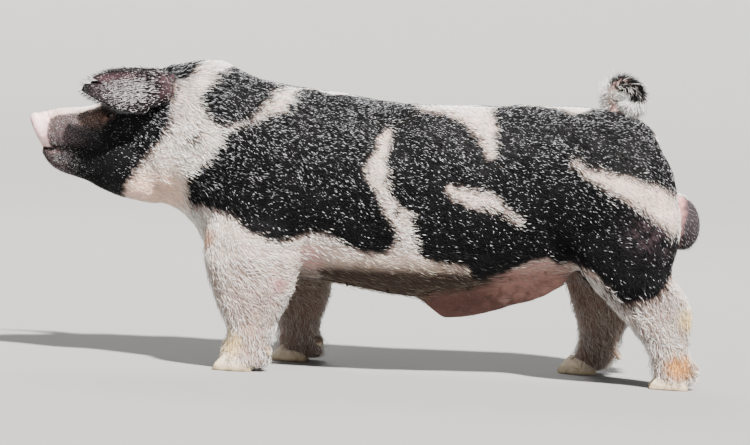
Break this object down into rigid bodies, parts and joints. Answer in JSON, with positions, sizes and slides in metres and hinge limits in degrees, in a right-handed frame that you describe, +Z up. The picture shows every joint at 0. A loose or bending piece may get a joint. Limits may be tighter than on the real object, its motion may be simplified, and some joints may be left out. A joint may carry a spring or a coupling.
{
  "type": "domestic boar",
  "caption": "Young black and white domestic boar, life size, standing still with head level, forward leaning ears and a curled tail.",
  "frame": {"origin": "centre of the footprint of the animal's bounding box, on the floor under its soles", "axes": "+X towards the tail, so the snout points to -X; +Z up; the animal's left side faces -Y"},
  "size_m": [1.5168, 0.3911, 0.688],
  "materials": {
    "coat_black": "short dense black hair with a low sheen",
    "coat_white": "short white hair, tinged where the skin shows",
    "bare_skin": "bare pink skin, matt and finely creased",
    "horn": "pale horn, faintly ringed",
    "eye": "wet and dark"
  },
  "bodies": {
    "root": {"head": "coat_black", "snout_disc": "bare_skin", "neck": "coat_white", "torso": "coat_black", "tail": "coat_white", "scrotum": "bare_skin", "ear_left": "coat_black", "ear_right": "coat_black", "eye_left": "eye", "eye_right": "eye", "leg_fore_left": "coat_white", "leg_fore_right": "coat_white", "leg_hind_left": "coat_white", "leg_hind_right": "coat_white", "claw_fore_left_inner": "horn", "claw_fore_left_outer": "horn", "claw_fore_right_inner": "horn", "claw_fore_right_outer": "horn", "claw_hind_left_inner": "horn", "claw_hind_left_outer": "horn", "claw_hind_right_inner": "horn", "claw_hind_right_outer": "horn", "dewclaw_fore_left_inner": "horn", "dewclaw_fore_left_outer": "horn", "dewclaw_fore_right_inner": "horn", "dewclaw_fore_right_outer": "horn", "dewclaw_hind_left_inner": "horn", "dewclaw_hind_left_outer": "horn", "dewclaw_hind_right_inner": "horn", "dewclaw_hind_right_outer": "horn"}
  },
  "joints": []
}
